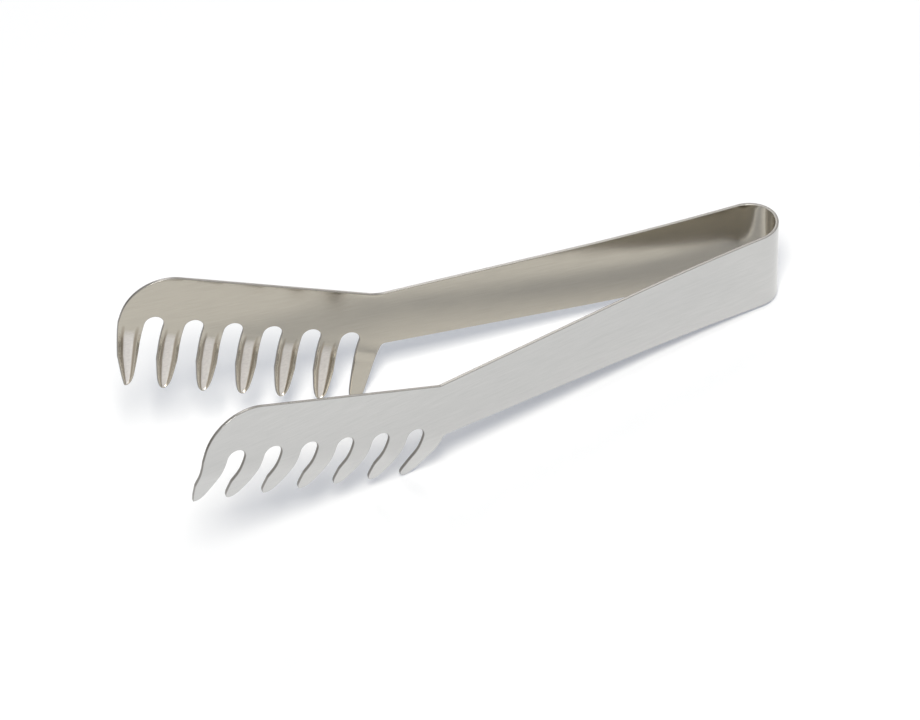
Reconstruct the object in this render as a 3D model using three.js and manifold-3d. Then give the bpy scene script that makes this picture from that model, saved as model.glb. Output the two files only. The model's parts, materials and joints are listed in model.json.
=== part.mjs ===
// Pasta tongs bent from one strip of stainless steel: a sprung bow, two splayed arms and two toothed combs.
// Millimetres. The tongs stand on edge, on the bow's lower edge and on the tooth next to each arm. +Z is up,
// +X points to the bow, the front comb lies towards -Y, and the origin is the middle of the footprint.
import * as THREE from "three";
import { mergeVertices } from "three/addons/utils/BufferGeometryUtils.js";
import Module from "manifold-3d";

const wasm = await Module();
wasm.setup();

const degree = Math.PI / 180;

// The strip of sheet steel, widest at the bow
const sheetThickness = 1.0;
const stripHeightAtBow = 26.1;
const stripHeightAtNeck = 18.4;

// The bow, measured on the middle of the sheet. Its turn runs from its crown to where an arm begins.
const bowRadius = 8.3;
const bowTurn = 85.6 * degree;

// The arms: a gentle outward curve, then straight on to the neck. The splay is from the tongs' middle plane.
const armLength = 109.5;
const armCurveLength = 52;
const armSplay = 8.1 * degree;
const flexGap = 0.3;

// The comb turns up from the arm at the kink in the back edge. Slots and teeth are counted from the neck.
const combTurn = 20.5 * degree;
const combBackDepth = 13.95;
const combNoseRadius = 14.2;
const neckLength = 6;
const neckRadius = 1.5;
const frontKinkRadius = 2;
const rearKinkRadius = 12;
const kinkToFirstSlot = 3.26;
const slotCount = 6;
const slotWidth = 5.74;
const toothPitch = 12;
const heelToothWidth = 7.3;
const noseToothWidth = 7.75;

// Each tooth: flat at its root, bent inwards, straight on to its elbow, then tapering to a round tip. All but
// the heel tooth, next to the arm, have a channel pressed into their inner face: a floor between two flanks.
const toothFlatLength = 0.2;
const toothBendRadius = 15.8;
const toothBendTurn = 24 * degree;
const toothStraightLength = 3.6;
const toothTaperLength = 8.4;
const channelDepth = 0.45;
const channelStart = 1.2;
const channelRunIn = 2.2;
const channelShares = [[-1, 0], [-0.74, 0], [-0.41, 1], [0.41, 1], [0.74, 0], [1, 0]];

// The end teeth narrow from root to elbow: width left at the elbow, and the tip's place from the nearest slot
const heelElbowShare = 0.76;
const heelTipShare = 0.39;
const noseElbowShare = 0.77;
const noseTipShare = 0.32;

// How far a tooth's two sides close in on its tip's place along the taper, the arm's side first, and how late
// the tip's rounding sets in: 2 makes an ellipse, and more is blunter.
const closingShares = { heel: [0.55, 0.09], between: [0.35, 0.53], nose: [0.14, 0.89] };
const tipRoundingPower = 6;

// Fineness of the round stretches
const bowSteps = 20;
const armCurveSteps = 6;
const toothBendSteps = 6;
const taperAngles = [20, 38, 52, 64, 74, 82, 87].map((angle) => angle * degree);
const arcPoints = 10;

const halfSheet = sheetThickness / 2;
const bowHalfLength = bowRadius * bowTurn;
const splayAtBow = Math.PI / 2 - bowTurn;
const armCurveTurn = armSplay - splayAtBow;
const armCurveRadius = armCurveLength / armCurveTurn;
const neckStation = bowHalfLength + armLength;
const stripTaper = (stripHeightAtBow - stripHeightAtNeck) / 2 / neckStation;
const stripTaperTurn = Math.atan(stripTaper);
const slotRadius = slotWidth / 2;
const plateDepth = combBackDepth + slotRadius + toothFlatLength;
const toothBendLength = toothBendRadius * toothBendTurn;
const toothElbow = toothBendLength + toothStraightLength;

const steel = (color, roughness) => new THREE.MeshStandardMaterial({ color, roughness, metalness: 1 });
const bowSteel = steel(0xbdbbb4, 0.32);
const armSteel = steel(0xc4c4c0, 0.34);
const combSteel = steel(0xc1c0ba, 0.36);

// Half of the strip's height at a distance from the crown of the bow, measured along the strip
const halfHeight = (station) => stripHeightAtBow / 2 - stripTaper * station;

const range = (count) => Array.from({ length: count }, (_, index) => index);
const steps = (from, to, count) => range(count + 1).map((index) => from + ((to - from) * index) / count);

// Reverses the triangles of a mesh that encloses a negative volume, so that its faces point out.
function facedOut(places, faces) {
  const corner = (index) => new THREE.Vector3().fromArray(places, index * 3);
  let volume = 0;
  for (let first = 0; first < faces.length; first += 3) {
    const [a, b, c] = faces.slice(first, first + 3).map(corner);
    volume += a.dot(b.cross(c));
  }
  const turned = volume < 0 ? faces.slice().reverse() : faces;
  const geometry = new THREE.BufferGeometry();
  geometry.setAttribute("position", new THREE.Float32BufferAttribute(places, 3));
  geometry.setIndex(turned);
  return geometry;
}

// A closed body of sheet from rows of places, each place given on the outside and on the inside of the sheet.
function sheetBody(rows) {
  const width = rows[0].length;
  const places = rows.flat().flatMap(({ outside, inside }) => [...outside.toArray(), ...inside.toArray()]);
  const at = (row, column, inner) => (row * width + column) * 2 + inner;
  const faces = [];
  const quad = (a, b, c, d) => faces.push(a, b, c, a, c, d);
  const last = rows.length - 1;
  const edge = width - 1;
  for (let row = 0; row < last; row += 1) {
    for (let column = 0; column < edge; column += 1) {
      quad(at(row, column, 0), at(row + 1, column, 0), at(row + 1, column + 1, 0), at(row, column + 1, 0));
      quad(at(row, column, 1), at(row, column + 1, 1), at(row + 1, column + 1, 1), at(row + 1, column, 1));
    }
    quad(at(row, 0, 0), at(row, 0, 1), at(row + 1, 0, 1), at(row + 1, 0, 0));
    quad(at(row, edge, 0), at(row + 1, edge, 0), at(row + 1, edge, 1), at(row, edge, 1));
  }
  for (let column = 0; column < edge; column += 1) {
    quad(at(0, column, 0), at(0, column + 1, 0), at(0, column + 1, 1), at(0, column, 1));
    quad(at(last, column, 0), at(last, column, 1), at(last, column + 1, 1), at(last, column + 1, 0));
  }
  return facedOut(places, faces);
}

// Top and bottom places of the strip where its middle is at (x, y) and its outward direction is at the angle.
function stripRow(x, y, outward, station) {
  const across = new THREE.Vector3(Math.cos(outward), Math.sin(outward), 0).multiplyScalar(halfSheet);
  const half = halfHeight(station);
  return [half, -half].map((z) => {
    const middle = new THREE.Vector3(x, y, z);
    return { outside: middle.clone().add(across), inside: middle.clone().sub(across) };
  });
}

// The bow, round from arm to arm, with its crown on the tongs' middle plane
function bowGeometry() {
  const reach = bowTurn - flexGap / 2 / bowRadius;
  return sheetBody(steps(-reach, reach, bowSteps).map((angle) => {
    const x = bowRadius * (Math.cos(angle) - 1);
    return stripRow(x, bowRadius * Math.sin(angle), angle, Math.abs(angle) * bowRadius);
  }));
}

// Place and heading of the arm's middle at a distance from the bow's end. x runs along the arm, y outwards.
function armMiddle(distance) {
  const heading = Math.min(distance, armCurveLength) / armCurveRadius;
  const straight = Math.max(distance - armCurveLength, 0);
  const x = armCurveRadius * Math.sin(heading) + straight * Math.cos(heading);
  const y = armCurveRadius * (1 - Math.cos(heading)) + straight * Math.sin(heading);
  return { x, y, heading };
}

function armGeometry() {
  const curve = steps(flexGap / 2, armCurveLength, armCurveSteps);
  return sheetBody([...curve, armLength - neckLength].map((distance) => {
    const { x, y, heading } = armMiddle(distance);
    return stripRow(x, y, heading + Math.PI / 2, bowHalfLength + distance);
  }));
}

// The comb's own axes: the origin is the kink, x runs along the back edge to the nose and z up, square to it.
const slotPlace = (slot) => kinkToFirstSlot + slot * toothPitch;
const noseRoot = slotPlace(slotCount - 1) + slotRadius;
const combLength = noseRoot + noseToothWidth;

// Each tooth's two sides at its root and at its elbow, its tip's place, how far its sides close in on it and
// how deep its channel is
function teeth() {
  const heelRoot = slotPlace(0) - slotRadius;
  const heel = {
    root: [heelRoot - heelToothWidth, heelRoot],
    elbow: [heelRoot - heelToothWidth * heelElbowShare, heelRoot],
    tip: heelRoot - heelToothWidth * heelTipShare,
    closing: closingShares.heel,
    pressed: 0,
  };
  const between = range(slotCount - 1).map((slot) => {
    const sides = [slotPlace(slot) + slotRadius, slotPlace(slot + 1) - slotRadius];
    const tip = (sides[0] + sides[1]) / 2;
    return { root: sides, elbow: sides, tip, closing: closingShares.between, pressed: channelDepth };
  });
  const nose = {
    root: [noseRoot, combLength],
    elbow: [noseRoot, noseRoot + noseToothWidth * noseElbowShare],
    tip: noseRoot + noseToothWidth * noseTipShare,
    closing: closingShares.nose,
    pressed: channelDepth,
  };
  return [heel, ...between, nose];
}

// Points of the arc that rounds a corner between the directions to the points before and after it
function roundedCorner(before, corner, after, radius) {
  const back = before.clone().sub(corner).normalize();
  const ahead = after.clone().sub(corner).normalize();
  const half = Math.acos(back.dot(ahead)) / 2;
  const centre = back.clone().add(ahead).normalize().multiplyScalar(radius / Math.sin(half)).add(corner);
  const [start, end] = [back, ahead].map((way) => (
    way.clone().multiplyScalar(radius / Math.tan(half)).add(corner).sub(centre)));
  const turn = (Math.PI - 2 * half) * Math.sign(start.cross(end));
  const swung = (angle) => start.clone().rotateAround(new THREE.Vector2(), angle);
  return steps(0, turn, arcPoints).map((angle) => swung(angle).add(centre));
}

// Where the line through a point at an angle meets the line through two other points
function lineMeets(point, angle, from, to) {
  const way = new THREE.Vector2(Math.cos(angle), Math.sin(angle));
  const other = to.clone().sub(from);
  const share = from.clone().sub(point).cross(other) / way.cross(other);
  return way.multiplyScalar(share).add(point);
}

// Outline of the flat part of the comb: neck, back edge, nose, and round slot tops between the tooth roots
function plateShape(kinkRadius) {
  const kink = new THREE.Vector2(0, 0);
  const stripDown = new THREE.Vector2(-Math.sin(combTurn), -Math.cos(combTurn));
  const stripBack = new THREE.Vector2(-Math.cos(combTurn), Math.sin(combTurn));
  const onStrip = (back, side) => {
    const half = halfHeight(neckStation - back);
    const down = halfHeight(neckStation) - side * half;
    return stripDown.clone().multiplyScalar(down).addScaledVector(stripBack, back);
  };
  const top = onStrip(neckLength, 1);
  const bottom = onStrip(neckLength, -1);
  const [heel] = teeth();
  const heelRoot = new THREE.Vector2(heel.root[0], -plateDepth);
  const heelElbow = new THREE.Vector2(heel.elbow[0], -plateDepth - toothElbow);
  const corner = lineMeets(bottom, stripTaperTurn - combTurn, heelRoot, heelElbow);
  const noseRadius = Math.min(combNoseRadius, plateDepth);
  const back = new THREE.Vector2(combLength, 0);
  const noseFoot = new THREE.Vector2(combLength, -plateDepth);
  const slotTops = range(slotCount).reverse().flatMap((slot) => {
    const middle = new THREE.Vector2(slotPlace(slot), -combBackDepth - slotRadius);
    const foot = new THREE.Vector2(slotRadius, -toothFlatLength).add(middle);
    const top = steps(0, Math.PI, arcPoints).map((angle) => (
      new THREE.Vector2(Math.cos(angle), Math.sin(angle)).multiplyScalar(slotRadius).add(middle)));
    return [foot, ...top, foot.clone().setX(slotPlace(slot) - slotRadius)];
  });
  return new THREE.Shape([
    top,
    ...roundedCorner(top, kink, back, kinkRadius),
    ...roundedCorner(kink, back, noseFoot, noseRadius),
    noseFoot,
    ...slotTops,
    ...roundedCorner(heelRoot, corner, bottom, neckRadius),
    bottom,
  ]);
}

// A tooth as rows across it, from inside the plate to its tip. y is outwards, so the bend turns it to -y.
// On the taper each side closes in evenly, times the tip's rounding: the root of 1 less a power of the share of
// the taper passed.
function toothGeometry({ root, elbow, tip, closing, pressed }) {
  const onTaper = taperAngles.map((angle) => toothElbow + toothTaperLength * Math.sin(angle));
  const onBend = steps(0, toothBendLength, toothBendSteps);
  const distances = [-toothFlatLength, ...onBend, toothElbow, ...onTaper];
  return sheetBody(distances.map((distance) => {
    const turn = THREE.MathUtils.clamp(distance / toothBendRadius, 0, toothBendTurn);
    const straight = distance - turn * toothBendRadius;
    const down = toothBendRadius * Math.sin(turn) + straight * Math.cos(turn);
    const inward = toothBendRadius * (1 - Math.cos(turn)) + Math.max(straight, 0) * Math.sin(turn);
    const elbowShare = THREE.MathUtils.clamp(distance / toothElbow, 0, 1);
    const taperShare = Math.max(distance - toothElbow, 0) / toothTaperLength;
    const rounding = Math.sqrt(1 - taperShare ** tipRoundingPower);
    const [rear, front] = closing.map((share, side) => {
      const wide = THREE.MathUtils.lerp(root[side], elbow[side], elbowShare);
      return THREE.MathUtils.lerp(tip, wide, (1 - share * taperShare) * rounding);
    });
    const runIn = THREE.MathUtils.clamp((distance - channelStart) / channelRunIn, 0, 1);
    const depth = pressed * runIn * Math.sqrt(1 - taperShare ** 2);
    const across = new THREE.Vector3(0, Math.cos(turn), -Math.sin(turn));
    return channelShares.map(([sideShare, depthShare]) => {
      const x = (rear + front) / 2 + ((front - rear) / 2) * sideShare;
      const middle = new THREE.Vector3(x, -inward, -plateDepth - down);
      return {
        outside: middle.clone().addScaledVector(across, halfSheet),
        inside: middle.clone().addScaledVector(across, depth * depthShare - halfSheet),
      };
    });
  }));
}

// Turns a closed geometry into a solid that can be joined, and back.
function solid(geometry) {
  const bare = new THREE.BufferGeometry();
  bare.setAttribute("position", geometry.getAttribute("position").clone());
  bare.setIndex(geometry.getIndex());
  const merged = mergeVertices(bare);
  const vertProperties = new Float32Array(merged.getAttribute("position").array);
  const triVerts = new Uint32Array(merged.getIndex().array);
  return new wasm.Manifold(new wasm.Mesh({ numProp: 3, vertProperties, triVerts }));
}

function geometryOf(body) {
  const mesh = body.getMesh();
  return facedOut(Array.from(mesh.vertProperties), Array.from(mesh.triVerts));
}

function combGeometry(kinkRadius) {
  const extrusion = { depth: sheetThickness, bevelEnabled: false, curveSegments: arcPoints };
  const plate = new THREE.ExtrudeGeometry(plateShape(kinkRadius), extrusion);
  plate.rotateX(Math.PI / 2);
  plate.translate(0, halfSheet, 0);
  const toothSolids = teeth().map(toothGeometry).map(solid);
  return geometryOf(toothSolids.reduce((sum, tooth) => sum.add(tooth), solid(plate)));
}

// The rear side's pieces are the front side's, mirrored in the middle plane.
function mirrored(geometry) {
  const places = Array.from(geometry.getAttribute("position").array);
  const swung = places.map((value, index) => (index % 3 === 1 ? -value : value));
  return facedOut(swung, Array.from(geometry.getIndex().array));
}

function piece(name, geometry, material) {
  const mesh = new THREE.Mesh(geometry, material);
  mesh.name = name;
  return mesh;
}

// One side of the tongs in a group that hinges where the bow ends. side is -1 in front and 1 at the rear.
function tongsSide(name, side, kinkRadius) {
  const shape = (geometry) => (side < 0 ? geometry : mirrored(geometry));
  const arm = piece(`${name}_arm`, shape(armGeometry()), armSteel);
  const comb = piece(`${name}_comb`, shape(combGeometry(kinkRadius)), combSteel);
  const neck = armMiddle(armLength);
  const half = halfHeight(neckStation);
  comb.rotation.set(0, -combTurn, -side * neck.heading, "ZYX");
  comb.position.set(neck.x, -side * neck.y, half);
  const group = new THREE.Group();
  group.add(arm, comb);
  group.rotation.z = Math.PI - side * splayAtBow;
  group.position.set(bowRadius * (Math.cos(bowTurn) - 1), side * bowRadius * Math.sin(bowTurn), 0);
  return group;
}

// Leans the tongs until the bow and the lowest teeth touch the ground, and centres the footprint.
function stand(group) {
  const places = [];
  group.updateMatrixWorld(true);
  group.traverse((mesh) => {
    if (!mesh.isMesh) return;
    const position = mesh.geometry.getAttribute("position");
    range(position.count).forEach((index) => {
      places.push(new THREE.Vector3().fromBufferAttribute(position, index).applyMatrix4(mesh.matrixWorld));
    });
  });
  const crown = places.reduce((lowest, place) => (place.z - place.x < lowest.z - lowest.x ? place : lowest));
  const drops = places.filter((place) => place.x < crown.x - bowHalfLength)
    .map((place) => (crown.z - place.z) / (crown.x - place.x));
  group.rotation.y = Math.atan(Math.max(...drops));
  group.updateMatrixWorld(true);
  const box = new THREE.Box3().setFromObject(group, true);
  const middle = box.getCenter(new THREE.Vector3());
  group.position.set(-middle.x, -middle.y, -box.min.z);
}

const tongs = new THREE.Group();
tongs.add(piece("bow", bowGeometry(), bowSteel));
tongs.add(tongsSide("front", -1, frontKinkRadius));
tongs.add(tongsSide("rear", 1, rearKinkRadius));
stand(tongs);

export default tongs;
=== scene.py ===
"""Looks of a pair of pasta tongs, bent from one strip of brushed stainless steel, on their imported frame.

Each half of the tongs is drawn as its flat blank, from the crown of the bow to the tips of the comb. It is
then bent: the bow round its radius, the arm along its gentle curve and each tooth inwards. Everything is in
metres.
"""

import json

import bmesh
import bpy
import numpy as np
from bpy.props import FloatProperty, FloatVectorProperty, IntProperty, PointerProperty
from mathutils import Euler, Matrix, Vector


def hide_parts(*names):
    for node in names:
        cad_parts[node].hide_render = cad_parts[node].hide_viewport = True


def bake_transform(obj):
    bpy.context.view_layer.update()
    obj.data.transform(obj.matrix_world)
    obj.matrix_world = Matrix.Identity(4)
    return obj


bl_info = {
    "name": "Pasta Tongs",
    "version": (1, 0, 0),
    "blender": (4, 5, 0),
    "location": "3D View > Sidebar > Pasta Tongs",
    "description": "Builds sheet steel pasta tongs around their packed frame",
    "category": "Add Mesh",
}

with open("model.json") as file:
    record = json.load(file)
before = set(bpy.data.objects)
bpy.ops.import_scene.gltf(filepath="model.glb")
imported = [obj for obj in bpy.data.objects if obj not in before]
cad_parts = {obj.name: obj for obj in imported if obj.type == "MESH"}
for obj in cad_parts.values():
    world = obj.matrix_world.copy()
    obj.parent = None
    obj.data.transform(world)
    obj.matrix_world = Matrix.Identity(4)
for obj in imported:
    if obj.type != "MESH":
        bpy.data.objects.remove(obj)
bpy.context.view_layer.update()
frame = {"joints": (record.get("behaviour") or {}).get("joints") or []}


def length(name, description, default):
    """A size in metres that the sidebar shows with its unit."""
    return FloatProperty(
        name=name, description=description, default=default, subtype="DISTANCE", unit="LENGTH", precision=5
    )


def angle(name, description, degrees):
    """An angle, given in degrees and kept in radians."""
    return FloatProperty(
        name=name, description=description, default=np.radians(degrees), subtype="ANGLE", unit="ROTATION"
    )


def colour(name, description, default):
    """A colour in linear light."""
    return FloatVectorProperty(
        name=name, description=description, default=default, size=3, min=0, max=1, subtype="COLOR"
    )


def share(name, description, default):
    """A plain number between 0 and 1."""
    return FloatProperty(name=name, description=description, default=default, min=0, max=1, subtype="FACTOR")


def amount(name, description, default):
    """A plain number."""
    return FloatProperty(name=name, description=description, default=default)


def pair(name, description, default):
    """Two plain numbers, the arm's side of a tooth first."""
    return FloatVectorProperty(name=name, description=description, default=default, size=2)


class StripSizes(bpy.types.PropertyGroup):
    """The strip of sheet, its bow and its arms."""

    thickness: length("Sheet thickness", "Thickness of the steel sheet", 0.001)
    edge_round: length("Edge rounding", "Radius to which the cut edges are tumbled", 0.0002)
    height_at_bow: length("Height at the bow", "Height of the strip at the bow's crown", 0.0261)
    height_at_neck: length("Height at the neck", "Height of the strip where the comb begins", 0.0184)
    bow_radius: length("Bow radius", "Radius of the bow at the middle of the sheet", 0.0083)
    bow_turn: angle("Bow turn", "Turn of the bow from its crown to where an arm begins", 85.6)
    flex_reach: length("Flexing reach", "Distance from the crown over which a half flexes", 0.042)
    arm_length: length("Arm length", "Length of an arm from the bow to the kink", 0.1095)
    arm_curve: length("Arm curve", "Length of the arm's gentle outward curve", 0.052)
    arm_splay: angle("Arm splay", "Angle between the arm's straight part and the middle plane", 8.1)


class CombSizes(bpy.types.PropertyGroup):
    """The toothed plate at the end of each arm."""

    turn: angle("Comb turn", "Angle by which the comb turns up from the arm", 20.5)
    back_depth: length("Back depth", "Depth from the back edge to the tops of the slots", 0.01395)
    nose_radius: length("Nose radius", "Radius of the comb's front upper corner", 0.0142)
    neck_radius: length("Neck radius", "Radius between the arm and the tooth next to it", 0.0015)
    front_kink: length("Front kink radius", "Radius in the front comb's back edge at the kink", 0.002)
    rear_kink: length("Rear kink radius", "Radius in the rear comb's back edge at the kink", 0.012)
    first_slot: length("First slot", "Distance from the kink to the first slot's middle", 0.00326)
    slots: IntProperty(name="Slots", description="Number of slots in a comb", default=6, min=1)
    slot_width: length("Slot width", "Width of a slot, which has a round top", 0.00574)
    pitch: length("Tooth pitch", "Distance between the middles of two slots", 0.012)
    heel_width: length("Heel tooth width", "Width at the root of the tooth next to the arm", 0.0073)
    nose_width: length("Nose tooth width", "Width at the root of the outermost tooth", 0.00775)


class ToothSizes(bpy.types.PropertyGroup):
    """The bend, the taper and the pressed channel of the teeth."""

    flat: length("Flat root", "Flat length between a slot's round top and the bend", 0.0002)
    bend_radius: length("Bend radius", "Radius of the inward bend", 0.0158)
    bend_turn: angle("Bend turn", "Angle by which a tooth is bent inwards", 24)
    straight: length("Straight part", "Straight length between the bend and the elbow", 0.0036)
    taper: length("Taper", "Length over which a tooth narrows from its elbow to its tip", 0.0084)
    closing: pair("Closing in", "How far a middle tooth's sides close in on the taper", (0.35, 0.53))
    heel_closing: pair("Heel closing in", "How far the heel tooth's sides close in", (0.55, 0.09))
    nose_closing: pair("Nose closing in", "How far the nose tooth's sides close in", (0.14, 0.89))
    tip_power: amount("Tip rounding power", "How late a tip's rounding sets in, where 2 makes an ellipse", 6)
    heel_elbow: share("Heel at its elbow", "Share of the heel tooth's width left at its elbow", 0.76)
    heel_tip: share("Heel tip", "Place of the heel tooth's tip as a share of its width", 0.39)
    nose_elbow: share("Nose at its elbow", "Share of the nose tooth's width left at its elbow", 0.77)
    nose_tip: share("Nose tip", "Place of the nose tooth's tip as a share of its width", 0.32)
    channel_depth: length("Channel depth", "Depth of the channel pressed into a tooth's inner face", 0.00045)
    channel_start: length("Channel start", "Distance past the root at which the channel begins", 0.0006)
    channel_run_in: length("Channel run-in", "Length over which the channel reaches its depth", 0.005)
    channel_floor: share("Channel floor", "Half width of the floor as a share of half the face", 0.43)
    channel_mouth: share("Channel mouth", "Half width of the mouth as a share of half the face", 0.78)


class SteelFinish(bpy.types.PropertyGroup):
    """The look of the brushed steel."""

    face: colour("Outer face", "Colour of the brushed outer faces", (0.56, 0.558, 0.548))
    # The inner faces' darker, warmer colour is painted shade, for the dimmer reflections between the halves
    inner: colour("Inner face", "Colour of the brushed inner faces", (0.48, 0.448, 0.385))
    # The edges' dark colour is partly their own duller cut and partly painted shade for the dark reflections
    # in the slots' walls
    edge: colour("Edge", "Colour of the tumbled edges", (0.22, 0.21, 0.195))
    # The channel floors' pale colour is a painted highlight
    channel: colour("Channel floor", "Colour of the channels' coined floors", (0.76, 0.735, 0.71))
    # The flanks' dark brown colour is a painted dark reflection
    flank: colour("Channel flank", "Colour of the channels' flanks", (0.27, 0.23, 0.18))
    roughness: share("Roughness", "Mean roughness of the brushed faces", 0.16)
    channel_roughness: share("Channel roughness", "Roughness of the coined channel floors", 0.5)
    edge_roughness: share("Edge roughness", "Roughness of the tumbled edges", 0.34)
    grain: share("Grain", "Strength of the brushed grain's relief", 0.12)


class StageLook(bpy.types.PropertyGroup):
    """The floor, the light and the camera."""

    floor: colour("Floor", "Colour of the floor where light falls on it", (0.9, 0.87, 0.8))
    shade: colour("Shade", "Colour that the floor keeps in the shadow", (0.085, 0.12, 0.195))
    evenness: share("Evenness", "How far the floor's shadows fade where the steel mirrors them", 0.3)
    dim: colour("Dim side", "Colour of the low part of the studio behind the object", (0.28, 0.24, 0.19))
    sky: amount("Sky strength", "Strength of the even light from all round", 0.32)
    front_lamp: amount("Front lamp power", "Power in watts of the soft lamp in front", 42)
    back_lamp: amount("Back lamp power", "Power in watts of the soft lamp behind", 10)
    side_lamp: amount("Side lamp power", "Power in watts of the low lamp that lights the combs' edges", 4)
    target: FloatVectorProperty(
        name="Camera target",
        description="Point that the camera looks at",
        size=3,
        subtype="TRANSLATION",
        unit="LENGTH",
        default=(-0.00644, -0.00287, 0.02),
    )
    distance: length("Camera distance", "Distance from the camera to its target", 1.14006)
    azimuth: angle("Camera azimuth", "Turn of the camera round the object from straight in front", -18.35)
    elevation: angle("Camera elevation", "Height of the camera over the floor as an angle", 42.835)
    roll: angle("Camera roll", "Turn of the camera about its line of sight", -8.814)
    lens: FloatProperty(
        name="Lens", description="Focal length", default=156.52, subtype="DISTANCE_CAMERA", unit="CAMERA"
    )


# Fineness of the grids, in steps
BOW_STEPS = 44
CURVE_STEPS = 26
STRAIGHT_STEPS = 24
FILLET_STEPS = 6
PLATE_STEPS = 16
CORNER_STEPS = 4
ARC_STEPS = 12
FLAT_STEPS = 2
BODY_STEPS = 26
TAPER_STEPS = 22
EDGE_STEPS = 4

# Steps across half a tooth: floor, both halves of a crease, flank, both halves of a crease, and land
CHANNEL_STEPS = (4, 1, 1, 3, 1, 1, 2)

# Width of the channel's soft creases, as a share of half the tooth's face
CREASE_SHARE = 0.05

# Power of the run-out with which the coined finish, with the floor's painted highlight and the flanks'
# painted reflection, fades at a channel's end
COINED_POWER = 0.1

# Length of the first step from the crown, and the distance within which points are welded
CROWN_STEP = 0.00002
WELD = 0.000001

# Noises of the finish: scale along the strip, up it and through it in cycles to a metre, and detail
FINE_STREAKS = (160, 9000, 9000), 3
BROAD_STREAKS = (60, 2200, 2200), 2
COINED_STREAKS = (900, 2600, 2600), 2
CLOUDS = (60, 60, 60), 4

# Values between which nearly all of a noise lies
NOISE_RANGE = (0.3, 0.7)

# Tones that the fine streaks and the coined ones give a colour, as shares of it
STREAK_TONES = (0.94, 1.05)
COINED_TONE = 0.86

# Steps from the mean roughness that the clouds make
ROUGHNESS_STEPS = (-0.03, 0.04)

# Share of the broad streaks in the grain's relief, and the relief's height
BROAD_RELIEF = 0.6
GRAIN_HEIGHT = 0.00002

# Heights through the sheet between which the inner face's darker, warmer tone, which is painted shade,
# gives way to the outer face's
FACE_TURN = (-0.0001, 0.0001)

# Marks between which the coined floor, with its painted highlight, and the flanks' painted dark reflection
# set in, and how much of a flank is painted dark
FLOOR_MARKS = (0.55, 0.95)
FLANK_MARKS = (0.1, 0.8)
FLANK_SHADE_COVER = 0.8

# Upward parts of a direction over which the studio's dim part ends, and backward ones over which it begins
DIM_RISE = (0.1, 0.4)
DIM_BACK = (0, 0.4)

# The lamps' places, as angles in degrees, and their sizes. All face the middle of the floor
LAMPS = {
    "front_lamp": {"azimuth": -20, "elevation": 60, "size": 0.8},
    "back_lamp": {"azimuth": 161, "elevation": 45, "size": 0.9},
    "side_lamp": {"azimuth": 136, "elevation": 15, "size": 0.6},
}
LAMP_DISTANCE = 2.4

# Half the width of the floor, and the camera's nearest and farthest distance
FLOOR_REACH = 4
CAMERA_NEAR = 0.05
CAMERA_FAR = 20

WHITE = (1, 1, 1, 1)


def unit(vectors):
    """Each vector divided by its length."""
    return vectors / np.linalg.norm(vectors, axis=-1, keepdims=True)


def crossed(first, second):
    """The area that two ways in the plane span."""
    return first[0] * second[1] - first[1] * second[0]


def mixed(first, last, shares):
    """Places on the straight line from first to last, at the given shares of the way."""
    return first + (last - first) * shares[..., None]


def rounded(corner, back, ahead, radius, shares):
    """Places on the arc that rounds a corner between two directions, at shares of the way from back to ahead.

    The centre lies on the angle's halving line at radius over the sine of half the angle. An arm of the arc
    at a share s is the start arm times sin((1 - s) turn) plus the end arm times sin(s turn), over
    sin(turn)."""
    back, ahead = unit(back), unit(ahead)
    half = np.arccos(back @ ahead) / 2
    centre = corner + unit(back + ahead) * radius / np.sin(half)
    start, end = (corner + way * radius / np.tan(half) - centre for way in (back, ahead))
    turn = np.pi - 2 * half
    arms = np.sin((1 - shares) * turn)[:, None] * start + np.sin(shares * turn)[:, None] * end
    return centre + arms / np.sin(turn)


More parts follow.
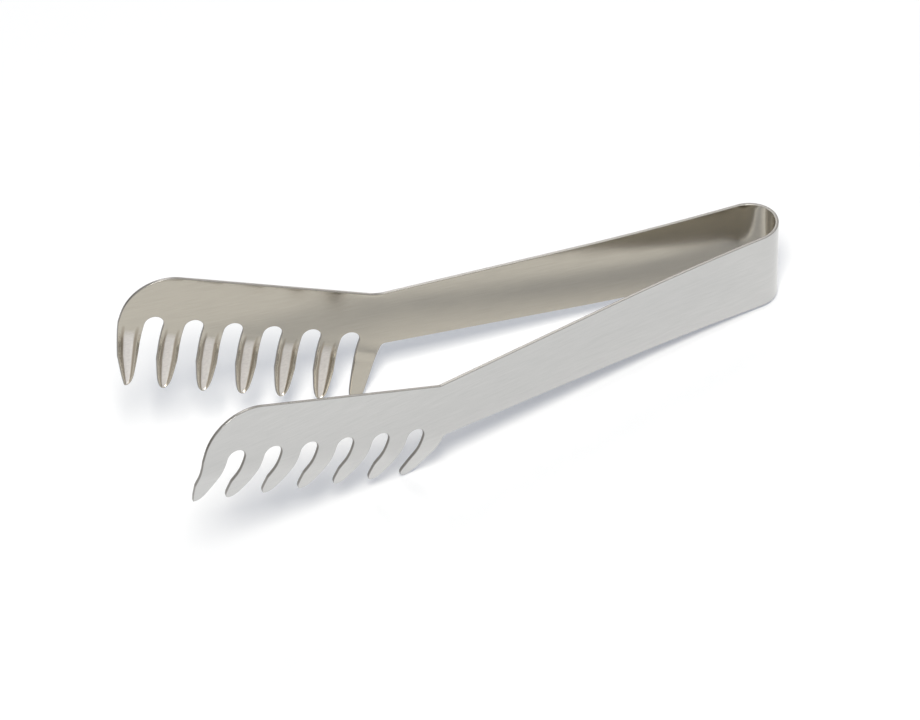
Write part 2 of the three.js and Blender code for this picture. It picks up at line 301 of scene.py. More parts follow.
class Blank:
    """The flat blank of one half of the tongs, and how it is bent.

    A place on the blank is (along, height): the distance from the bow's crown along the strip, and the
    height over the strip's middle line. A place on the comb is (reach, depth): reach runs from the kink along
    the back edge to the nose, and depth is square to it, towards the tips. The front half's side is -1 and
    the rear half's is 1."""

    def __init__(self, strip, comb, tooth, side):
        self.strip, self.comb, self.tooth, self.side = strip, comb, tooth, side
        self.bow_length = strip.bow_radius * strip.bow_turn
        self.arm_turn = strip.arm_splay + strip.bow_turn - np.pi / 2
        self.neck = np.array([self.bow_length + strip.arm_length, strip.height_at_neck / 2])
        self.taper = (strip.height_at_bow - strip.height_at_neck) / 2 / self.neck[0]
        self.slot_radius = comb.slot_width / 2
        self.plate_depth = comb.back_depth + self.slot_radius + tooth.flat
        self.elbow = tooth.bend_radius * tooth.bend_turn + tooth.straight
        self.kink = comb.front_kink if side < 0 else comb.rear_kink
        self.comb_length = self.slot_place(comb.slots - 1) + self.slot_radius + comb.nose_width
        cos, sin = np.cos(comb.turn), np.sin(comb.turn)
        self.comb_ways = np.array([[cos, sin], [sin, -cos]])

    def slot_place(self, slot):
        """Reach of a slot's middle."""
        return self.comb.first_slot + slot * self.comb.pitch

    def half_height(self, along):
        """Half the strip's height, which falls evenly from the bow to the neck."""
        return self.strip.height_at_bow / 2 - self.taper * along

    def from_comb(self, reach, depth):
        """Places on the blank of places on the comb: the comb's axes turned about the kink."""
        return self.neck + np.stack(np.broadcast_arrays(reach, depth), -1) @ self.comb_ways

    def to_comb(self, places):
        """Reach and depth on the comb of places on the blank: the shares of the comb's axes in them."""
        return np.moveaxis((places - self.neck) @ self.comb_ways.T, -1, 0)

    def bent(self, places, through):
        """Places in the standing tongs of places on the blank, each lifted outwards through the sheet.

        Tooth: the depth past the plate wraps on a circle of the bend radius and then goes on straight, so
        it turns down and inwards. Bow: the distance along wraps on a circle of the bow radius, then the arm's
        curve wraps the other way, and the rest is straight. The tongs lean so that the fold's line is the
        hinge's axis."""
        strip, tooth = self.strip, self.tooth
        reach, depth = self.to_comb(places)
        past = depth - self.plate_depth
        turn = np.clip(past / tooth.bend_radius, 0, tooth.bend_turn)
        rest = past - turn * tooth.bend_radius
        down = tooth.bend_radius * np.sin(turn) + rest * np.cos(turn) + through * np.sin(turn)
        inwards = tooth.bend_radius * (1 - np.cos(turn)) + np.maximum(rest, 0) * np.sin(turn)
        out = through * np.cos(turn) - inwards
        flat = self.from_comb(reach, self.plate_depth + down)
        wrapped = np.clip(flat[..., 0], 0, self.bow_length) / strip.bow_radius
        beyond = np.maximum(flat[..., 0] - self.bow_length, 0)
        opened = np.minimum(beyond / strip.arm_curve, 1) * self.arm_turn
        curve_radius = strip.arm_curve / self.arm_turn
        straight = np.maximum(beyond - strip.arm_curve, 0)
        ahead = curve_radius * np.sin(opened) + straight * np.cos(opened)
        aside = curve_radius * (1 - np.cos(opened)) + straight * np.sin(opened)
        heading = wrapped - opened
        cos_end, sin_end = np.cos(strip.bow_turn), np.sin(strip.bow_turn)
        x = strip.bow_radius * (np.cos(wrapped) - 1) - ahead * sin_end + aside * cos_end
        y = strip.bow_radius * np.sin(wrapped) + ahead * cos_end + aside * sin_end
        x, y = x + out * np.cos(heading), y + out * np.sin(heading)
        return np.stack([x, self.side * y, flat[..., 1]], -1) @ self.standing_axes() + self.crown_place()

    def hinge(self):
        """The frame's joint on which this half turns."""
        name = "front_arm_flex" if self.side < 0 else "rear_arm_flex"
        return next(joint for joint in frame["joints"] if joint["name"] == name)

    def standing_axes(self):
        """The strip's own axes in the standing tongs, in rows: to the crown, to the rear and up the fold."""
        fold = unit(np.array(self.hinge()["axis"], float)) * self.side
        rear = np.array([0, 1, 0], float)
        return np.stack([np.cross(rear, fold), rear, fold])

    def crown_place(self):
        """The middle of the bow's crown: the hinge's place less the way from the crown to the bow's end."""
        back = self.strip.bow_radius * (np.cos(self.strip.bow_turn) - 1)
        place = np.array(self.hinge()["pos_m"], float) - back * self.standing_axes()[0]
        return place * np.array([1, 0, 1])

    def back_edge(self, reach):
        """Depth of the comb's back edge: 0, then down along the nose's arc as the radius less the root of the
        radius squared less the distance into the arc squared."""
        radius = self.comb.nose_radius
        into = np.clip(reach - self.comb_length + radius, 0, radius)
        return radius - np.sqrt(radius**2 - into**2)

    def nose_edge(self, depth):
        """Reach of the comb's front edge: straight, and above the nose's arc drawn back as the arc is."""
        radius = self.comb.nose_radius
        above = np.clip(radius - depth, 0, radius)
        return self.comb_length - radius + np.sqrt(radius**2 - above**2)


def channel_shares(tooth):
    """Places across a tooth from its arm's side, -1, to its nose's side, 1, close together at the creases."""
    floor, mouth, soft = tooth.channel_floor, tooth.channel_mouth, CREASE_SHARE
    ends = [0, floor - soft, floor, floor + soft, mouth - soft, mouth, mouth + soft, 1]
    spans = zip(ends, ends[1:], CHANNEL_STEPS)
    half = np.concatenate([np.linspace(a, b, steps, endpoint=False) for a, b, steps in spans] + [[1]])
    return np.concatenate([-half[:0:-1], half])


def channel_profile(tooth, shares):
    """Depth across the channel, 0 at both sides of the tooth and 1 in the middle.

    It is a straight flank between mouth and floor, with both creases softened: each takes the mean of a value
    and the root of its square plus a small square."""
    slope = (tooth.channel_mouth - np.abs(shares)) / (tooth.channel_mouth - tooth.channel_floor)
    width = CREASE_SHARE / (tooth.channel_mouth - tooth.channel_floor)
    risen = (slope + np.sqrt(slope**2 + width**2)) / 2
    held = 1 - (1 - risen + np.sqrt((1 - risen) ** 2 + width**2)) / 2
    return (held - held.min()) / (held.max() - held.min())


def pressed_channel(blank, flat):
    """Depth of the channel at a cell's flat places, and the marks of its floor and of its flanks.

    The depth is the profile across, times 3 squares less 2 cubes of the share of the run-in passed, times the
    run-out: the root of 1 less the square of the share of the taper passed. The floor's mark is the profile,
    and the flanks' mark is 4 times the profile times 1 less the profile. Both begin as the root of the share
    of the run-in, and end as a low power of the run-out, so they hold to the channel's end."""
    tooth = blank.tooth
    past = blank.to_comb(flat)[1] - blank.plate_depth
    run_in = np.clip((past - tooth.channel_start) / tooth.channel_run_in, 0, 1)
    passed = np.clip((past - blank.elbow) / tooth.taper, 0, 1)
    run_out = np.sqrt(1 - passed**2)
    profile = channel_profile(tooth, channel_shares(tooth))
    depth = run_in**2 * (3 - 2 * run_in) * run_out * profile * tooth.channel_depth
    begun = np.sqrt(run_in) * run_out**COINED_POWER
    return depth, begun * profile, begun * 4 * profile * (1 - profile)


def tooth_side(blank, number, right):
    """One side of a tooth from the end of its root to its tip, as places on the comb.

    It runs straight from its root to its elbow. On the taper it closes in evenly, times the tip's rounding:
    the root of 1 less a power of the share of the taper passed, and that share is the sine of even angles."""
    comb, tooth = blank.comb, blank.tooth
    arm_side = blank.slot_place(number - 1) + blank.slot_radius
    nose_side = blank.slot_place(number) - blank.slot_radius
    closing, tip = tooth.closing, (arm_side + nose_side) / 2
    root = elbow = nose_side if right else arm_side
    if number == 0:
        closing, tip = tooth.heel_closing, nose_side - comb.heel_width * tooth.heel_tip
        root = nose_side - comb.heel_width * (not right)
        elbow = nose_side - comb.heel_width * tooth.heel_elbow * (not right)
    if number == comb.slots:
        closing, tip = tooth.nose_closing, arm_side + comb.nose_width * tooth.nose_tip
        root = arm_side + comb.nose_width * right
        elbow = arm_side + comb.nose_width * tooth.nose_elbow * right
    on_body = np.linspace(0, 1, BODY_STEPS + 1)
    on_taper = np.sin(np.linspace(0, np.pi / 2, TAPER_STEPS + 1))[1:]
    width = (1 - closing[int(right)] * on_taper) * np.sqrt(np.clip(1 - on_taper**tooth.tip_power, 0, 1))
    reach = np.concatenate([root + (elbow - root) * on_body, tip + (elbow - tip) * width])
    depth = np.concatenate([on_body * blank.elbow, blank.elbow + tooth.taper * on_taper])
    return reach, blank.plate_depth + depth


def slot_side(blank, slot, right):
    """Half of a slot as places on the comb: a quarter circle from its top, then its straight side."""
    turn = np.linspace(0, np.pi / 2, ARC_STEPS + 1)
    flat = np.linspace(0, blank.tooth.flat, FLAT_STEPS + 1)[1:]
    aside = blank.slot_radius * np.concatenate([np.sin(turn), np.ones(FLAT_STEPS)])
    down = np.concatenate([blank.slot_radius * (1 - np.cos(turn)), blank.slot_radius + flat])
    return blank.slot_place(slot) + (aside if right else -aside), blank.comb.back_depth + down


def strip_edges(blank):
    """The strip's upper and lower edge from the crown, and the arcs that go on from them round kink and neck.

    Each edge takes even steps along the bow and the arm's curve, then runs straight to its arc, of which it
    keeps the first half. The neck's corner is where the lower edge's line meets the heel tooth's arm side."""
    halves = np.linspace(0, 1, FILLET_STEPS + 1) / 2
    fine = np.linspace(0.5, 1, ARC_STEPS + FLAT_STEPS - CORNER_STEPS + 1)
    upper_way, lower_way = np.array([-1, blank.taper]), np.array([-1, -blank.taper])
    even_shares = np.concatenate([halves, halves[1:] + 0.5])
    kink_arc = rounded(blank.neck, upper_way, blank.comb_ways[0], blank.kink, even_shares)
    heel = blank.from_comb(*tooth_side(blank, 0, False))
    down_way = heel[BODY_STEPS] - heel[0]
    foot = np.array([0, -blank.half_height(0)])
    corner = foot + lower_way * crossed(heel[0] - foot, down_way) / crossed(lower_way, down_way)
    neck_shares = np.concatenate([halves, fine[1:]])
    neck_arc = rounded(corner, lower_way, down_way, blank.comb.neck_radius, neck_shares)

    bow = np.linspace(0, blank.bow_length, BOW_STEPS + 1)[1:]
    curve = blank.bow_length + np.linspace(0, blank.strip.arm_curve, CURVE_STEPS + 1)[1:]
    along = np.concatenate([[0, CROWN_STEP], bow, curve])
    straight = np.linspace(0, 1, STRAIGHT_STEPS + 1)[1:-1]

    def edge(side, arc):
        """The edge over (side 1) or under (side -1) the middle line, up to the middle of its arc."""
        even = np.stack([along, side * blank.half_height(along)], -1)
        return np.concatenate([even, mixed(even[-1], arc[0], straight), arc[: FILLET_STEPS + 1]])

    return edge(1, kink_arc), edge(-1, neck_arc), kink_arc[FILLET_STEPS:], neck_arc[FILLET_STEPS:]


def comb_edges(blank, kink_arc, neck_arc):
    """Stretches of the comb's outline: the back edge over each cell, the nose, and both sides of each cell.

    A cell is a tooth with the plate over it, from the middle of one slot to the middle of the next. The back
    edge is divided as the teeth are across, and starts with the kink's arc. A side runs from the top of its
    slot, the middle of the neck's arc or the front edge to the tip of its tooth. The nose is the arc from its
    halving point down to the depth of the slots' tops."""
    comb, tooth = blank.comb, blank.tooth
    last = comb.slots
    across = (channel_shares(tooth) + 1) / 2
    nose_half = blank.comb_length - comb.nose_radius * (1 - np.sin(np.pi / 4))
    stretches = {}
    for cell in range(last + 1):
        start = 0 if cell == 0 else blank.slot_place(cell - 1)
        end = nose_half if cell == last else blank.slot_place(cell)
        reach = start + (end - start) * across
        stretches["back", cell] = blank.from_comb(reach, blank.back_edge(reach))
        left = blank.from_comb(*tooth_side(blank, cell, False))
        right = blank.from_comb(*tooth_side(blank, cell, True))
        if cell == 0:
            body = mixed(neck_arc[-1], left[BODY_STEPS], np.linspace(0, 1, BODY_STEPS + 1))
            left = np.concatenate([neck_arc, body[1:], left[BODY_STEPS + 1 :]])
        else:
            left = np.concatenate([blank.from_comb(*slot_side(blank, cell - 1, True)), left[1:]])
        if cell == last:
            depth = np.linspace(comb.back_depth, blank.plate_depth, ARC_STEPS + FLAT_STEPS + 1)
            root = blank.from_comb(blank.nose_edge(depth), depth)
        else:
            root = blank.from_comb(*slot_side(blank, cell, False))
        stretches["left", cell] = left
        stretches["right", cell] = np.concatenate([root, right[1:]])
    past_kink = mixed(kink_arc[-1], stretches["back", 0][-1], np.linspace(0, 1, len(across) - FILLET_STEPS))
    stretches["back", 0] = np.concatenate([kink_arc, past_kink[1:]])
    turn = np.linspace(np.pi / 4, np.arccos(1 - comb.back_depth / comb.nose_radius), PLATE_STEPS + 1)
    depth = comb.nose_radius * (1 - np.cos(turn))
    stretches["nose"] = blank.from_comb(blank.nose_edge(depth), depth)
    return stretches


def outline(blank):
    """The blank's outline from the crown's upper corner round to its lower one, and where each stretch lies.

    Stretches are "upper", ("back", cell), "nose", ("right", cell), ("left", cell) and "lower". The left sides
    are drawn towards the tips and the lower edge towards the neck, so the path runs through these
    backwards."""
    upper, lower, kink_arc, neck_arc = strip_edges(blank)
    stretches = {"upper": upper, "lower": lower, **comb_edges(blank, kink_arc, neck_arc)}
    cells = range(blank.comb.slots + 1)
    order = ["upper"] + [("back", cell) for cell in cells] + ["nose"]
    order += [side for cell in reversed(cells) for side in (("right", cell), ("left", cell))] + ["lower"]
    path, spans = [], {}
    count = 0
    for name in order:
        backwards = name == "lower" or name[0] == "left"
        places = stretches[name][::-1] if backwards else stretches[name]
        first = max(count - 1, 0)
        path.append(places[min(count, 1) :])
        count = first + len(places)
        spans[name] = (first, count, backwards)
    return np.concatenate(path), spans


def outward(path):
    """Direction out of the sheet at each point of the outline: the mean of its two segments' directions,
    turned a quarter. At the crown it is straight up or down."""
    ways = unit(np.diff(path, axis=0))
    ways = unit(np.concatenate([ways[:1], ways]) + np.concatenate([ways, ways[-1:]]))
    ways = np.stack([-ways[:, 1], ways[:, 0]], -1)
    ways[0], ways[-1] = (0, 1), (0, -1)
    return ways


def filled(upper, lower, left, right, across, down):
    """Places inside four border curves: the rows between left and right plus the columns between upper and
    lower, less the plane through the four corners."""
    across, down = across[None, :, None], down[:, None, None]
    rows = left[:, None] * (1 - across) + right[:, None] * across
    columns = upper[None] * (1 - down) + lower[None] * down
    top = upper[0] * (1 - across) + upper[-1] * across
    bottom = lower[0] * (1 - across) + lower[-1] * across
    return rows + columns - top * (1 - down) - bottom * down


def flat_faces(blank, stretch):
    """Grids of flat places inside the edge's rounding: the strip's first, then each cell's.

    The strip is mixed from its upper to its lower edge. A cell is its plate, filled between four borders,
    over its tooth, mixed from side to side."""
    upper, lower = stretch("upper"), stretch("lower")
    depths = blank.to_comb(np.stack([upper[-1], stretch(("left", 1))[0], lower[-1]]))[1]
    split = (depths[1] - depths[0]) / (depths[2] - depths[0])
    beside_plate = np.linspace(0, split, PLATE_STEPS + 1)
    beside_slot = np.linspace(split, 1, CORNER_STEPS + 1)
    down = np.concatenate([beside_plate, beside_slot[1:]])
    strip_face = mixed(upper[:, None], lower[:, None], down)
    faces = [strip_face]
    across = (channel_shares(blank.tooth) + 1) / 2
    plate_down = np.linspace(0, 1, PLATE_STEPS + 1)
    last = blank.comb.slots
    for cell in range(last + 1):
        back, left, right = (stretch((side, cell)) for side in ("back", "left", "right"))
        left_plate = mixed(back[0], left[0], plate_down)
        right_plate = mixed(back[-1], right[0], plate_down)
        if cell == 0:
            left = np.concatenate([strip_face[-1, PLATE_STEPS:], left[1:]])
            left_plate = strip_face[-1, : PLATE_STEPS + 1]
        if cell == last:
            right_plate = stretch("nose")
        row = mixed(left[0], right[0], across)
        plate = filled(back, row, left_plate, right_plate, across, plate_down)
        tooth = mixed(left[:, None], right[:, None], across)
        faces.append(np.concatenate([plate, tooth[1:]]))
    return faces


def edge_section(strip):
    """Section of the edge from the outer face to the inner one, as distances in from the outline and heights
    through the sheet: two quarter circles with the straight of the cut between them."""
    turn = np.linspace(0, np.pi / 2, EDGE_STEPS + 1)
    inward = strip.edge_round * (1 - np.sin(turn))
    through = strip.thickness / 2 - strip.edge_round * (1 - np.cos(turn))
    return np.concatenate([inward, inward[::-1]]), np.concatenate([through, -through[::-1]])


def half_of_tongs(blank):
    """Grids of the bent half, each with its places, the blank's places with the height through the sheet, the
    share of the edge's rounding passed, and the marks of the channel's floor and flanks."""
    strip = blank.strip
    half_sheet = strip.thickness / 2
    path, spans = outline(blank)
    ways = outward(path)
    inset = path - ways * strip.edge_round

    def stretch(name):
        """A stretch of the outline, drawn in by the edge's rounding."""
        first, last, backwards = spans[name]
        return inset[first:last][::-1] if backwards else inset[first:last]

    def grid(flat, through, rim=0, floor=0, flank=0):
        through, *marks = (np.broadcast_to(each, flat.shape[:-1]) for each in (through, rim, floor, flank))
        return blank.bent(flat, through), np.concatenate([flat, through[..., None]], -1), *marks

    strip_face, heel_face, *tooth_faces = flat_faces(blank, stretch)
    grids = [grid(flat, half_sheet) for flat in (strip_face, heel_face, *tooth_faces)]
    grids += [grid(strip_face, -half_sheet), grid(heel_face, -half_sheet)]
    for flat in tooth_faces:
        depth, floor, flank = pressed_channel(blank, flat)
        grids.append(grid(flat, depth - half_sheet, 0, floor, flank))

    inward, through = edge_section(strip)
    rim = path[:, None] - ways[:, None] * inward[:, None]
    grids.append(grid(rim, through, 1 - inward / strip.edge_round))

    # The crown's cut face, from the upper edge's rounding down to the lower edge's
    outer = len(inward) // 2
    column = strip_face[0, 1:-1]
    cap = np.concatenate([rim[0, :outer][::-1], column, rim[-1, :outer]])
    cap_half = np.concatenate([through[:outer][::-1], np.full(len(column), half_sheet), through[:outer]])
    grids.append(grid(np.stack([cap, cap], 1), np.stack([cap_half, -cap_half], 1)))
    return grids


def steel_mesh(name, blank):
    """Joins the half's grids into one closed mesh, with the blank's places and the marks as attributes.

    The places along the front half are made negative, so that the grain runs on from half to half."""
    grids = half_of_tongs(blank)
    quads, first = [], 0
    for places, *_ in grids:
        rows, columns = places.shape[:2]
        index = first + np.arange(rows * columns).reshape(rows, columns)
        corners = [index[:-1, :-1], index[1:, :-1], index[1:, 1:], index[:-1, 1:]]
        quads.append(np.stack(corners, -1).reshape(-1, 4))
        first += rows * columns
    places_of, flat_of, *marks_of = zip(*grids)
    places, flat = (np.concatenate([each.reshape(-1, 3) for each in part]) for part in (places_of, flat_of))
    flat[:, 0] *= blank.side
    mesh = bpy.data.meshes.new(name)
    mesh.from_pydata(places.tolist(), [], np.concatenate(quads).tolist())
    mesh.attributes.new("blank", "FLOAT_VECTOR", "POINT").data.foreach_set("vector", flat.ravel())
    for mark, part in zip(("rim", "channel", "flank"), marks_of):
        values = np.concatenate([each.ravel() for each in part])
        mesh.attributes.new(mark, "FLOAT", "POINT").data.foreach_set("value", values)
    soup = bmesh.new()
    soup.from_mesh(mesh)
    bmesh.ops.remove_doubles(soup, verts=soup.verts, dist=WELD)
    bmesh.ops.recalc_face_normals(soup, faces=soup.faces)
    blank_layer = soup.verts.layers.float_vector["blank"]
    for face in soup.faces:
        at_crown = all(abs(vert[blank_layer][0]) < CROWN_STEP / 2 for vert in face.verts)
        face.smooth = not at_crown
        if at_crown:
            for edge in face.edges:
                edge.smooth = False
    open_edges = [edge for edge in soup.edges if not edge.is_manifold]
    soup.to_mesh(mesh)
    soup.free()
    if open_edges:
        raise RuntimeError(f"{name} isn't closed: {len(open_edges)} open edges")
    return mesh


class Nodes:
    """A cleared node tree. An input is given as a number, a colour or the output that feeds it."""

    def __init__(self, owner):
        owner.use_nodes = True
        self.tree = owner.node_tree
        self.tree.nodes.clear()

    def add(self, kind, inputs, **settings):
        """A node with its inputs, by name or place, and its settings."""
        made = self.tree.nodes.new(kind)
        for name, value in settings.items():
            setattr(made, name, value)
        for name, value in inputs.items():
            if isinstance(value, bpy.types.NodeSocket):
                self.tree.links.new(value, made.inputs[name])
            else:
                made.inputs[name].default_value = value
        return made

    def attribute(self, name, output="Fac"):
        """The mesh's attribute of that name."""
        return self.add("ShaderNodeAttribute", {}, attribute_name=name).outputs[output]

    def math(self, operation, *values):
        """The result of a sum on numbers."""
        return self.add("ShaderNodeMath", dict(enumerate(values)), operation=operation).outputs[0]

    def ranged(self, value, span, low=0, high=1, **settings):
        """The value drawn from the span's range to the one from low to high."""
        inputs = {"Value": value, "From Min": span[0], "From Max": span[1], "To Min": low, "To Max": high}
        return self.add("ShaderNodeMapRange", inputs, **settings).outputs["Result"]

    def blended(self, share, first, last):
        """The number between first and last at a share of the way."""
        return self.add("ShaderNodeMix", {0: share, 2: first, 3: last}, data_type="FLOAT").outputs[0]

    def blended_colour(self, share, first, last, **settings):
        """The colour between first and last at a share of the way."""
        inputs = {0: share, 6: first, 7: last}
        return self.add("ShaderNodeMix", inputs, data_type="RGBA", **settings).outputs[2]

    def finish(self, kind, surface):
        """Adds the tree's output node, which shows the surface."""
        self.add(kind, {"Surface": surface.outputs[0]})

    def rays(self):
        """Which rays come from the camera, which are mirrored or let through, and which are either."""
        path = self.add("ShaderNodeLightPath", {}).outputs
        mirrored = self.math("MAXIMUM", path["Is Glossy Ray"], path["Is Transmission Ray"])
        return path["Is Camera Ray"], mirrored, self.math("MAXIMUM", path["Is Camera Ray"], mirrored)


def brushed_steel(finish):
    """Brushed steel with its channels and edges.

    Fine streaks along the strip vary its tone. With broad streaks they carry its relief, and soft clouds vary
    its roughness. The inner faces are darker and warmer than the outer ones, as painted shade for the dimmer
    reflections between the halves. The channels' coined floors are rougher, and paler as a painted highlight;
    their flanks are darker as a painted dark reflection. The tumbled edges are darker, partly their own
    duller cut and partly painted shade."""
    material = bpy.data.materials.new("brushed_steel")
    nodes = Nodes(material)
    blank = nodes.attribute("blank", "Vector")

    def noise(scale, detail):
        scaled = nodes.add("ShaderNodeMapping", {"Vector": blank, "Scale": scale}).outputs["Vector"]
        inputs = {"Vector": scaled, "Scale": 1, "Detail": detail}
        return nodes.add("ShaderNodeTexNoise", inputs).outputs["Fac"]

    def toned(colour, tone=1):
        return (*(tone * part for part in colour), 1)

    through = nodes.add("ShaderNodeSeparateXYZ", {"Vector": blank}).outputs["Z"]
    fine, broad = noise(*FINE_STREAKS), noise(*BROAD_STREAKS)
    coined = nodes.ranged(noise(*COINED_STREAKS), NOISE_RANGE)
    outer = nodes.ranged(through, FACE_TURN)
    rim, floor, flank = (nodes.attribute(mark) for mark in ("rim", "channel", "flank"))
    on_floor = nodes.ranged(floor, FLOOR_MARKS)
    flank_shade_share = nodes.ranged(flank, FLANK_MARKS, 0, FLANK_SHADE_COVER)

    # The inner faces take a darker, warmer tone: painted shade
    tone = nodes.blended_colour(outer, toned(finish.inner), toned(finish.face))
    streaks = nodes.ranged(fine, NOISE_RANGE, *STREAK_TONES)
    tone = nodes.blended_colour(1, tone, streaks, blend_type="MULTIPLY")
    # The channel floor's paler tone is a painted highlight, mottled at random
    channel_highlight_tone = nodes.blended_colour(coined, toned(finish.channel), toned(finish.channel, COINED_TONE))
    tone = nodes.blended_colour(on_floor, tone, channel_highlight_tone)
    # Dark flanks: painted dark reflection
    tone = nodes.blended_colour(flank_shade_share, tone, toned(finish.flank))
    # Darker edges: partly the duller cut, partly painted shade
    tone = nodes.blended_colour(rim, tone, toned(finish.edge))

    rough = nodes.ranged(noise(*CLOUDS), NOISE_RANGE, *(finish.roughness + step for step in ROUGHNESS_STEPS))
    rough = nodes.blended(on_floor, rough, finish.channel_roughness)
    rough = nodes.blended(rim, rough, finish.edge_roughness)

    relief = nodes.math("MULTIPLY_ADD", broad, BROAD_RELIEF, fine)
    bump = nodes.add("ShaderNodeBump", {"Height": relief, "Strength": finish.grain, "Distance": GRAIN_HEIGHT})
    steel = {"Base Color": tone, "Roughness": rough, "Metallic": 1, "Normal": bump.outputs["Normal"]}
    nodes.finish("ShaderNodeOutputMaterial", nodes.add("ShaderNodeBsdfPrincipled", steel))
    return material


class TONGS_OT_halves(bpy.types.Operator):
    """Makes the front and the rear half of the tongs, which meet at the bow's crown"""

    bl_idname = "tongs.halves"
    bl_label = "Make both halves"

    def execute(self, context):
        scene = context.scene
        strip = scene.tongs_strip
        steel = brushed_steel(scene.tongs_steel)
        for name, side in (("front", -1), ("rear", 1)):
            blank = Blank(strip, scene.tongs_comb, scene.tongs_tooth, side)
            mesh = steel_mesh(f"{name}_half", blank)
            mesh.materials.append(steel)
            half = bpy.data.objects.new(f"{name}_half", mesh)
            scene.collection.objects.link(half)
            crown = Vector(blank.crown_place())
            reach = Vector(blank.standing_axes()[0]) * strip.flex_reach
            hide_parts("bow", f"{name}_arm", f"{name}_comb")
            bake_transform(half)
            shading = half.modifiers.new("edge shading", "WEIGHTED_NORMAL")
            shading.keep_sharp = True
        return {"FINISHED"}


def lit_floor(look):
    """Floor: matt and pale where light falls on it.

    To the camera and in the steel the shade's colour is added, so that no shadow is darker than it. Where the
    steel mirrors the floor, evenness mixes in white."""
    material = bpy.data.materials.new("pale_floor")
    nodes = Nodes(material)
    _, mirrored, seen = nodes.rays()
    matt = nodes.add("ShaderNodeBsdfDiffuse", {"Color": (*look.floor, 1)})
    glow = nodes.add("ShaderNodeEmission", {"Color": (*look.shade, 1), "Strength": seen})
    both = nodes.add("ShaderNodeAddShader", {0: matt.outputs[0], 1: glow.outputs[0]})
    white = nodes.add("ShaderNodeEmission", {"Color": WHITE})
    evened = nodes.math("MULTIPLY", mirrored, look.evenness)
    inputs = {0: evened, 1: both.outputs[0], 2: white.outputs[0]}
    nodes.finish("ShaderNodeOutputMaterial", nodes.add("ShaderNodeMixShader", inputs))
    return material


def floor_object(look):
    """A square of plain floor at height zero."""
    reach = FLOOR_REACH
    mesh = bpy.data.meshes.new("floor")
    corners = [(-reach, -reach, 0), (reach, -reach, 0), (reach, reach, 0), (-reach, reach, 0)]
    mesh.from_pydata(corners, [], [(0, 1, 2, 3)])
    mesh.materials.append(lit_floor(look))
    return bpy.data.objects.new("floor", mesh)


def studio(look):
    """World: full strength to the camera and where the steel mirrors it, and the sky's strength where it only
    lights the floor. It is white, but for a dim part that the camera doesn't see: where a direction goes
    backwards and hardly rises."""
    world = bpy.data.worlds.new("studio")
    nodes = Nodes(world)
    camera, _, seen = nodes.rays()
    direction = nodes.add("ShaderNodeTexCoord", {}).outputs["Generated"]
    way = nodes.add("ShaderNodeSeparateXYZ", {"Vector": direction}).outputs
    high = nodes.ranged(way["Z"], DIM_RISE, interpolation_type="SMOOTHSTEP")
    front = nodes.ranged(way["Y"], DIM_BACK, 1, 0, interpolation_type="SMOOTHSTEP")
    lit = nodes.math("MAXIMUM", nodes.math("MAXIMUM", high, front), camera)
    tone = nodes.blended_colour(lit, (*look.dim, 1), WHITE)
    strength = nodes.ranged(seen, (0, 1), look.sky, 1)
    background = nodes.add("ShaderNodeBackground", {"Color": tone, "Strength": strength})
    nodes.finish("ShaderNodeOutputWorld", background)
    return world


def turned(azimuth, elevation, roll=0):
    """Axes of a lamp or a camera that looks down from an azimuth and an elevation. The third one points away
    from what it looks at."""
    axes = Euler((np.pi / 2 - elevation, 0, azimuth)).to_matrix()
    return axes @ Euler((0, 0, roll)).to_matrix()


def soft_lamp(name, power, azimuth, elevation, size):
    """A square lamp that faces the middle of the floor."""
    lamp = bpy.data.lights.new(name, "AREA")
    lamp.size, lamp.energy = size, power
    placed = bpy.data.objects.new(name, lamp)
    axes = turned(np.radians(azimuth), np.radians(elevation))
    placed.matrix_world = axes.to_4x4()
    placed.location = axes.col[2] * LAMP_DISTANCE
    return placed


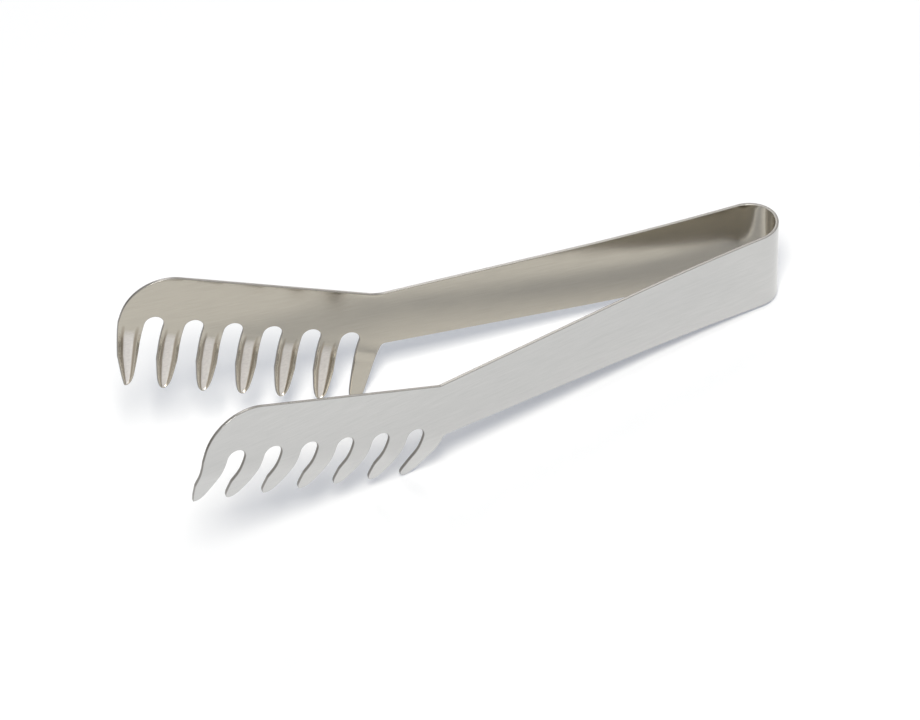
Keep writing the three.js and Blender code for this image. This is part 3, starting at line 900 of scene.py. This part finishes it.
def camera_object(look):
    """The camera, at its distance from its target."""
    camera = bpy.data.cameras.new("camera")
    camera.sensor_fit = "HORIZONTAL"
    camera.lens = look.lens
    camera.clip_start, camera.clip_end = CAMERA_NEAR, CAMERA_FAR
    eye = bpy.data.objects.new("camera", camera)
    axes = turned(look.azimuth, look.elevation, look.roll)
    eye.matrix_world = axes.to_4x4()
    eye.location = Vector(look.target) + axes.col[2] * look.distance
    return eye


class TONGS_OT_stage(bpy.types.Operator):
    """Makes the floor, the light and the camera"""

    bl_idname = "tongs.stage"
    bl_label = "Make the stage"

    def execute(self, context):
        scene = context.scene
        look = scene.tongs_stage
        floor = floor_object(look)
        scene.collection.objects.link(floor)
        scene.world = studio(look)
        for name, place in LAMPS.items():
            scene.collection.objects.link(soft_lamp(name, getattr(look, name), **place))
        scene.camera = camera_object(look)
        scene.collection.objects.link(scene.camera)
        scene.view_settings.view_transform = "Standard"
        return {"FINISHED"}


class TONGS_PT_sidebar(bpy.types.Panel):
    """Sizes, finish and stage of the tongs, with a button for each step"""

    bl_idname = "TONGS_PT_sidebar"
    bl_label = "Pasta Tongs"
    bl_space_type = "VIEW_3D"
    bl_region_type = "UI"
    bl_category = "Pasta Tongs"

    def draw(self, context):
        for name in GROUPS:
            group = getattr(context.scene, name)
            box = self.layout.box()
            for key in group.bl_rna.properties.keys():
                if key not in ("rna_type", "name"):
                    box.prop(group, key)
        for step in STEPS:
            self.layout.operator(step)


GROUPS = {
    "tongs_strip": StripSizes,
    "tongs_comb": CombSizes,
    "tongs_tooth": ToothSizes,
    "tongs_steel": SteelFinish,
    "tongs_stage": StageLook,
}
STEPS = ("tongs.halves", "tongs.stage")
CLASSES = (*GROUPS.values(), TONGS_OT_halves, TONGS_OT_stage, TONGS_PT_sidebar)


def register():
    for cls in CLASSES:
        bpy.utils.register_class(cls)
    for name, group in GROUPS.items():
        setattr(bpy.types.Scene, name, PointerProperty(type=group))


def unregister():
    for name in GROUPS:
        delattr(bpy.types.Scene, name)
    for cls in reversed(CLASSES):
        bpy.utils.unregister_class(cls)


def main():
    register()
    bpy.ops.tongs.halves()
    bpy.ops.tongs.stage()


if __name__ == "__main__":
    main()
